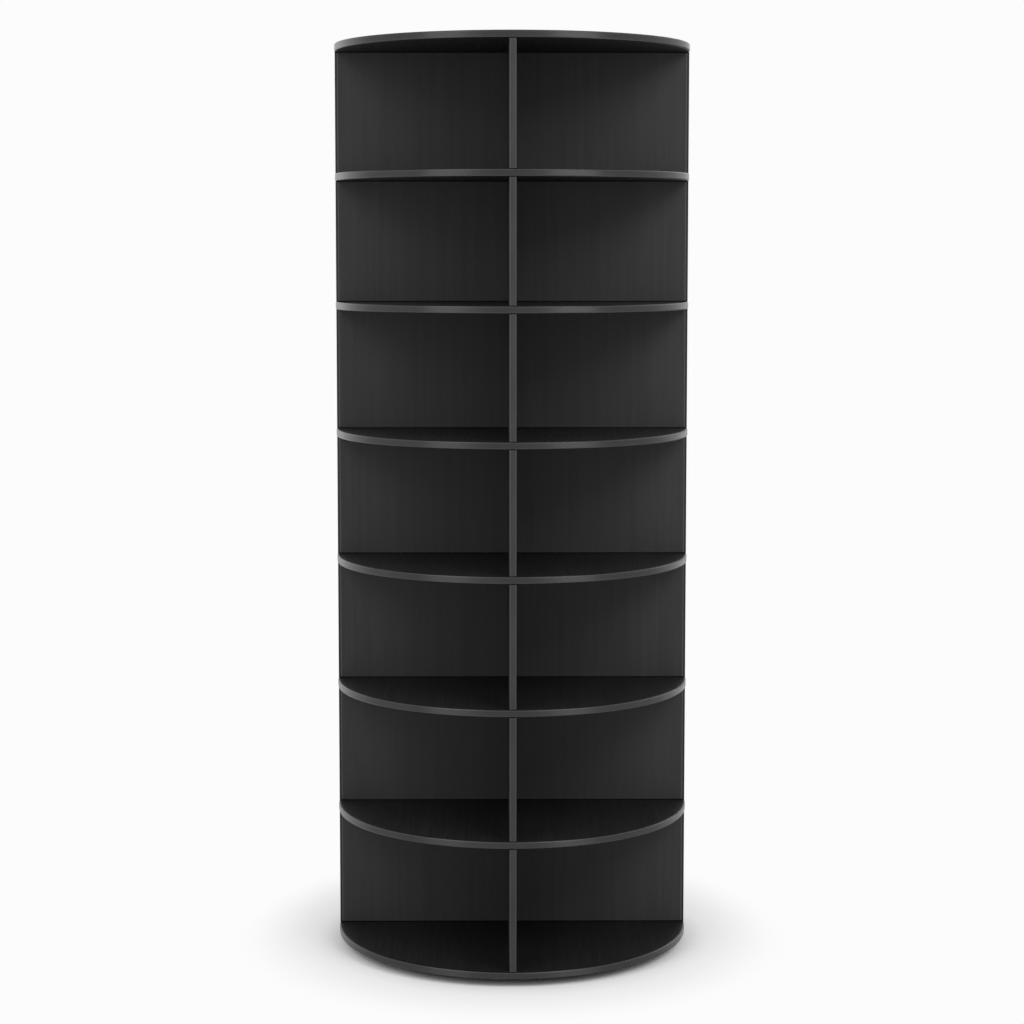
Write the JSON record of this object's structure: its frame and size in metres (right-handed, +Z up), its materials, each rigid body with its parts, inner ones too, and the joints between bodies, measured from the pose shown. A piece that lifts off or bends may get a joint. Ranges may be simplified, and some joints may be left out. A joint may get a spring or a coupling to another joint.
{
  "type": "rotating shoe tower",
  "caption": "Tall round shoe tower of open quarter-circle compartments between round boards, turning freely on a low ball-bearing base.",
  "frame": {"origin": "on the floor, at the turning axis, under the centre of the base", "axes": "+Z up along the turning axis, -Y towards the front line of panels, +X to the right seen from the front"},
  "size_m": [0.5999, 0.6, 1.538],
  "materials": {
    "board_laminate": "black laminated board, satin",
    "panel_laminate": "black laminated board with a fine upright grain, satin",
    "edge_band": "black thick edge band with rounded arrises, satin",
    "dowel_wood": "plain beech",
    "screw_steel": "zinc plated steel",
    "cap_plastic": "black moulded plastic",
    "pad_rubber": "black rubber",
    "base_steel": "black powder coated steel",
    "ring_aluminium": "plain extruded aluminium",
    "ball_steel": "polished bearing steel",
    "cage_plastic": "natural nylon"
  },
  "bodies": {
    "base": {"foot_pads": "pad_rubber", "base_disc": "base_steel", "bearing_outer_ring": "ring_aluminium", "outer_ring_screws": "screw_steel"},
    "tower": {"bottom_board": "board_laminate", "bottom_board_band": "edge_band", "shelf_board_1": "board_laminate", "shelf_band_1": "edge_band", "shelf_board_2": "board_laminate", "shelf_band_2": "edge_band", "shelf_board_3": "board_laminate", "shelf_band_3": "edge_band", "shelf_board_4": "board_laminate", "shelf_band_4": "edge_band", "shelf_board_5": "board_laminate", "shelf_band_5": "edge_band", "shelf_board_6": "board_laminate", "shelf_band_6": "edge_band", "top_board": "board_laminate", "top_board_band": "edge_band", "cross_panel_1": "panel_laminate", "front_panel_1": "panel_laminate", "rear_panel_1": "panel_laminate", "panel_bands_1": "edge_band", "cross_panel_2": "panel_laminate", "front_panel_2": "panel_laminate", "rear_panel_2": "panel_laminate", "panel_bands_2": "edge_band", "cross_panel_3": "panel_laminate", "front_panel_3": "panel_laminate", "rear_panel_3": "panel_laminate", "panel_bands_3": "edge_band", "cross_panel_4": "panel_laminate", "front_panel_4": "panel_laminate", "rear_panel_4": "panel_laminate", "panel_bands_4": "edge_band", "cross_panel_5": "panel_laminate", "front_panel_5": "panel_laminate", "rear_panel_5": "panel_laminate", "panel_bands_5": "edge_band", "cross_panel_6": "panel_laminate", "front_panel_6": "panel_laminate", "rear_panel_6": "panel_laminate", "panel_bands_6": "edge_band", "cross_panel_7": "panel_laminate", "front_panel_7": "panel_laminate", "rear_panel_7": "panel_laminate", "panel_bands_7": "edge_band", "shelf_dowels": "dowel_wood", "cross_dowels": "dowel_wood", "shelf_screws": "screw_steel", "bottom_screws": "screw_steel", "top_screws": "screw_steel", "top_screw_caps": "cap_plastic", "bearing_inner_ring": "ring_aluminium", "inner_ring_screws": "screw_steel"},
    "cage": {"bearing_cage": "cage_plastic", "bearing_balls": "ball_steel"}
  },
  "joints": [
    {"name": "tower_turn", "type": "hinge", "parent": "base", "child": "tower", "pos_m": [0, 0, 0.01], "axis": [0, 0, 1], "continuous": true},
    {"name": "cage_turn", "type": "hinge", "parent": "base", "child": "cage", "pos_m": [0, 0, 0.01], "axis": [0, 0, 1], "continuous": true}
  ],
  "couplings": [
    {"joint": "cage_turn", "follows": "tower_turn", "ratio": 0.49333}
  ]
}
